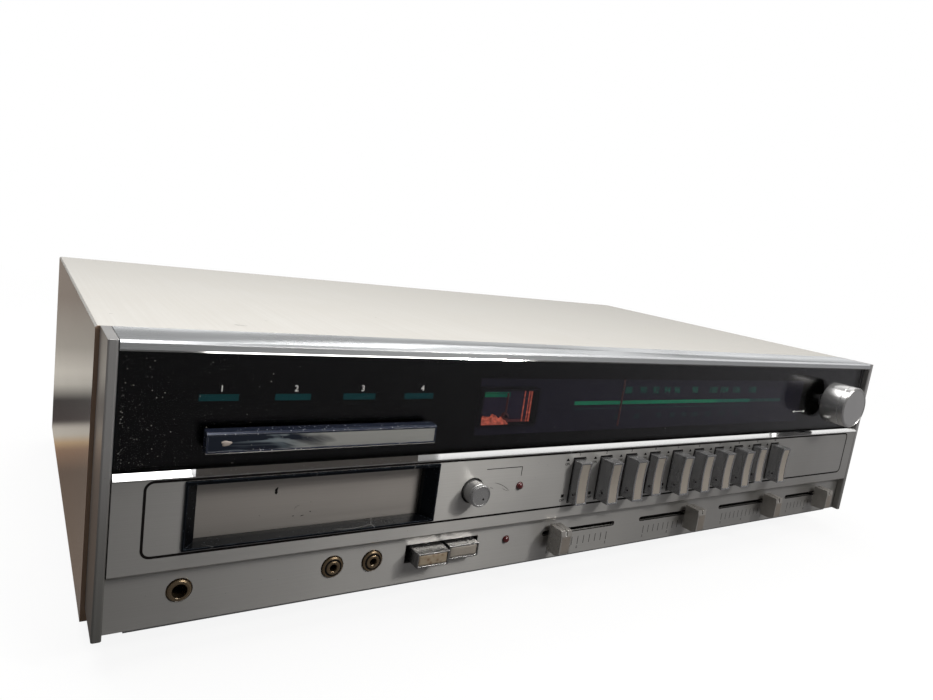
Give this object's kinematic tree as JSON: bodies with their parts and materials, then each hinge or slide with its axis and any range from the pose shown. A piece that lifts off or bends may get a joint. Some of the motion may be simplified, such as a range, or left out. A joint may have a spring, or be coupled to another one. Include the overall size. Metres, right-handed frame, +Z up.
{
  "type": "8 track player",
  "caption": "Stereo receiver with a tape cartridge slot: long low cabinet, dial glass with tuning knob, brushed panel with push keys and slide controls",
  "frame": {"origin": "middle of the unit's footprint box, on the floor plane under the feet", "axes": "+X to the unit's right as seen from the front, +Y from the front to the back, +Z up"},
  "size_m": [0.5484, 0.3244, 0.1375],
  "materials": {
    "cabinet_foil": "board covered with silver foil, fine lengthwise grain, slightly glossy",
    "sheet_steel": "zinc-plated sheet, dull",
    "black_sheet": "black paint, matt",
    "foot_rubber": "matt rubber",
    "brushed_aluminium": "brushed along its length, aged",
    "panel_aluminium": "fine horizontal brushing, scratched and dusty",
    "spun_aluminium": "turned, with a concentric grain",
    "chrome_plate": "chrome on plastic, aged",
    "smoked_glass": "smooth glass, black print behind",
    "dark_plate": "dark blue-black, matt",
    "cream_plastic": "moulded, slightly yellowed",
    "black_plastic": "moulded, slightly glossy edges",
    "smoke_flap": "smooth, brownish, dusty",
    "red_lens": "clear red, unlit",
    "lamp_glass": "small bulbs",
    "cord": "thin braided cord",
    "belt_rubber": "flat belt",
    "brass_wheel": "turned brass",
    "switch_plastic": "pressed board and plastic",
    "nickel": "nickel plate, worn",
    "transformer_iron": "stacked laminations, varnished",
    "circuit_board": "glass-fibre board with parts",
    "pointer_red": "painted orange-red"
  },
  "bodies": {
    "chassis": {"cabinet_sleeve": "cabinet_foil", "base_chassis": "sheet_steel", "rear_panel": "black_sheet", "feet": "foot_rubber", "end_cap_left": "brushed_aluminium", "end_cap_right": "brushed_aluminium", "top_trim": "brushed_aluminium", "ledge_trim": "brushed_aluminium", "control_panel": "panel_aluminium", "front_frame": "sheet_steel", "dial_glass": "smoked_glass", "dial_plate": "dark_plate", "pointer_rail": "sheet_steel", "tuning_capacitor": "sheet_steel", "dial_cord": "cord", "tuning_meter": "cream_plastic", "pilot_lamps": "lamp_glass", "function_switches": "switch_plastic", "door_bezel": "black_plastic", "cartridge_tray": "black_plastic", "deck_plate": "sheet_steel", "drive_motor": "sheet_steel", "drive_belt": "belt_rubber", "switch_bank": "switch_plastic", "slide_controls": "switch_plastic", "indicator_lamps": "red_lens", "front_jacks": "nickel", "power_transformer": "transformer_iron", "circuit_boards": "circuit_board", "rear_sockets": "black_plastic"},
    "flap": {"door_flap": "smoke_flap"},
    "selector": {"selector_bar": "chrome_plate"},
    "record": {"record_button": "chrome_plate"},
    "fast_forward": {"fast_forward_button": "chrome_plate"},
    "mode": {"mode_button": "chrome_plate"},
    "key1": {"key_1": "chrome_plate"},
    "key2": {"key_2": "chrome_plate"},
    "key3": {"key_3": "chrome_plate"},
    "key4": {"key_4": "chrome_plate"},
    "key5": {"key_5": "chrome_plate"},
    "key6": {"key_6": "chrome_plate"},
    "key7": {"key_7": "chrome_plate"},
    "key8": {"key_8": "chrome_plate"},
    "key9": {"key_9": "chrome_plate"},
    "key10": {"key_10": "chrome_plate"},
    "slider1": {"slider_knob_1": "brushed_aluminium"},
    "slider2": {"slider_knob_2": "brushed_aluminium"},
    "slider3": {"slider_knob_3": "brushed_aluminium"},
    "slider4": {"slider_knob_4": "brushed_aluminium"},
    "tuning": {"tuning_knob": "spun_aluminium", "tuning_spindle": "sheet_steel"},
    "pointer": {"dial_pointer": "pointer_red"},
    "drum": {"tuning_drum": "cream_plastic"},
    "pulley_left": {"cord_pulley_left": "cream_plastic"},
    "pulley_right": {"cord_pulley_right": "cream_plastic"},
    "pulley_middle": {"cord_pulley_middle": "cream_plastic"},
    "needle": {"meter_needle": "pointer_red"},
    "flywheel_body": {"flywheel": "brass_wheel"},
    "motor_shaft": {"motor_pulley": "brass_wheel"},
    "head": {"head_carriage": "nickel"}
  },
  "joints": [
    {"name": "door_swing", "type": "hinge", "parent": "chassis", "child": "flap", "pos_m": [-0.182, -0.13265, 0.0778], "axis": [1, 0, 0], "range_deg": [0, 85], "stiffness_Nm_per_rad": 0.002, "springref_deg": -17.19},
    {"name": "selector_push", "type": "slide", "parent": "chassis", "child": "selector", "axis": [0, 1, 0], "range_m": [0, 0.002], "stiffness_N_per_m": 300, "springref_m": -0.001},
    {"name": "record_push", "type": "slide", "parent": "chassis", "child": "record", "axis": [0, 1, 0], "range_m": [0, 0.003], "stiffness_N_per_m": 200, "springref_m": -0.001},
    {"name": "fast_forward_push", "type": "slide", "parent": "chassis", "child": "fast_forward", "axis": [0, 1, 0], "range_m": [0, 0.003], "stiffness_N_per_m": 200, "springref_m": -0.001},
    {"name": "mode_push", "type": "slide", "parent": "chassis", "child": "mode", "axis": [0, 1, 0], "range_m": [-0.0035, 0]},
    {"name": "key_1_push", "type": "slide", "parent": "chassis", "child": "key1", "axis": [0, 1, 0], "range_m": [-0.004, 0]},
    {"name": "key_2_push", "type": "slide", "parent": "chassis", "child": "key2", "axis": [0, 1, 0], "range_m": [0, 0.004]},
    {"name": "key_3_push", "type": "slide", "parent": "chassis", "child": "key3", "axis": [0, 1, 0], "range_m": [0, 0.004]},
    {"name": "key_4_push", "type": "slide", "parent": "chassis", "child": "key4", "axis": [0, 1, 0], "range_m": [-0.004, 0]},
    {"name": "key_5_push", "type": "slide", "parent": "chassis", "child": "key5", "axis": [0, 1, 0], "range_m": [0, 0.004]},
    {"name": "key_6_push", "type": "slide", "parent": "chassis", "child": "key6", "axis": [0, 1, 0], "range_m": [0, 0.004]},
    {"name": "key_7_push", "type": "slide", "parent": "chassis", "child": "key7", "axis": [0, 1, 0], "range_m": [0, 0.004]},
    {"name": "key_8_push", "type": "slide", "parent": "chassis", "child": "key8", "axis": [0, 1, 0], "range_m": [0, 0.004]},
    {"name": "key_9_push", "type": "slide", "parent": "chassis", "child": "key9", "axis": [0, 1, 0], "range_m": [-0.004, 0]},
    {"name": "key_10_push", "type": "slide", "parent": "chassis", "child": "key10", "axis": [0, 1, 0], "range_m": [0, 0.004]},
    {"name": "slider_1_move", "type": "slide", "parent": "chassis", "child": "slider1", "axis": [1, 0, 0], "range_m": [-0.0015, 0.0455]},
    {"name": "slider_2_move", "type": "slide", "parent": "chassis", "child": "slider2", "axis": [1, 0, 0], "range_m": [-0.0399, 0.0071]},
    {"name": "slider_3_move", "type": "slide", "parent": "chassis", "child": "slider3", "axis": [1, 0, 0], "range_m": [-0.0465, 0.0005]},
    {"name": "slider_4_move", "type": "slide", "parent": "chassis", "child": "slider4", "axis": [1, 0, 0], "range_m": [-0.0339, 0.0131]},
    {"name": "tuning_turn", "type": "hinge", "parent": "chassis", "child": "tuning", "pos_m": [0.2185, -0.14225, 0.1083], "axis": [0, 1, 0], "range_deg": [-601.6, 2478]},
    {"name": "pointer_slide", "type": "slide", "parent": "chassis", "child": "pointer", "axis": [1, 0, 0], "range_m": [-0.0425, 0.1735]},
    {"name": "drum_turn", "type": "hinge", "parent": "chassis", "child": "drum", "pos_m": [0.208, -0.12025, 0.0685], "axis": [0, 1, 0], "range_deg": [-112, 453]},
    {"name": "pulley_left_turn", "type": "hinge", "parent": "chassis", "child": "pulley_left", "pos_m": [-0.0518, -0.12025, 0.127], "axis": [0, 1, 0], "range_deg": [-690, 2835]},
    {"name": "pulley_right_turn", "type": "hinge", "parent": "chassis", "child": "pulley_right", "pos_m": [0.214, -0.12025, 0.127], "axis": [0, 1, 0], "range_deg": [-690, 2835]},
    {"name": "pulley_middle_turn", "type": "hinge", "parent": "chassis", "child": "pulley_middle", "pos_m": [0.1825, -0.12025, 0.12], "axis": [0, 1, 0], "range_deg": [-2835, 690]},
    {"name": "needle_swing", "type": "hinge", "parent": "chassis", "child": "needle", "pos_m": [-0.0785, -0.12825, 0.1005], "axis": [0, 1, 0], "range_deg": [-28, 28], "stiffness_Nm_per_rad": 0.0002},
    {"name": "flywheel_spin", "type": "hinge", "parent": "chassis", "child": "flywheel_body", "pos_m": [-0.152, -0.02425, 0.0315], "axis": [0, 0, 1], "continuous": true},
    {"name": "motor_spin", "type": "hinge", "parent": "chassis", "child": "motor_shaft", "pos_m": [-0.216, 0.02575, 0.0315], "axis": [0, 0, 1], "continuous": true},
    {"name": "head_lift", "type": "slide", "parent": "chassis", "child": "head", "axis": [0, 0, 1], "range_m": [0, 0.003]}
  ],
  "couplings": [
    {"joint": "pointer_slide", "follows": "tuning_turn", "m_per_rad": 0.004},
    {"joint": "drum_turn", "follows": "tuning_turn", "ratio": 0.18182},
    {"joint": "pulley_left_turn", "follows": "tuning_turn", "ratio": 1.1429},
    {"joint": "pulley_right_turn", "follows": "tuning_turn", "ratio": 1.1429},
    {"joint": "pulley_middle_turn", "follows": "tuning_turn", "ratio": -1.1429},
    {"joint": "motor_spin", "follows": "flywheel_spin", "ratio": 5.6667}
  ]
}
